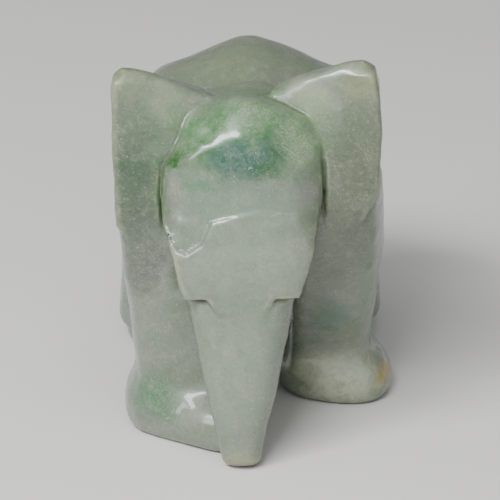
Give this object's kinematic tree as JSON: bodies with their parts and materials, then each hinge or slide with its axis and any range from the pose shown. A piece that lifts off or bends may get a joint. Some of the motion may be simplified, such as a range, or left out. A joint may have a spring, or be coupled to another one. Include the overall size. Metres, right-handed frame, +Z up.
{
  "type": "jade elephant figurine",
  "caption": "Small standing elephant carved from one stone, with upright slab ears, an arched gabled back, a tapering trunk and broad flat feet.",
  "frame": {"origin": "the middle of the overall box, on the plane that the soles rest on", "axes": "+X towards the animal's own left side, +Y from the face towards the tail, +Z up"},
  "size_m": [0.0288, 0.0458, 0.0401],
  "materials": {
    "jade": "polished"
  },
  "bodies": {
    "root": {"torso": "jade", "head": "jade", "muzzle": "jade", "trunk": "jade", "right_ear": "jade", "left_ear": "jade", "right_front_leg": "jade", "left_front_leg": "jade", "right_rear_leg": "jade", "left_rear_leg": "jade", "right_front_foot": "jade", "left_front_foot": "jade", "right_rear_foot": "jade", "left_rear_foot": "jade", "tail": "jade"}
  },
  "joints": []
}
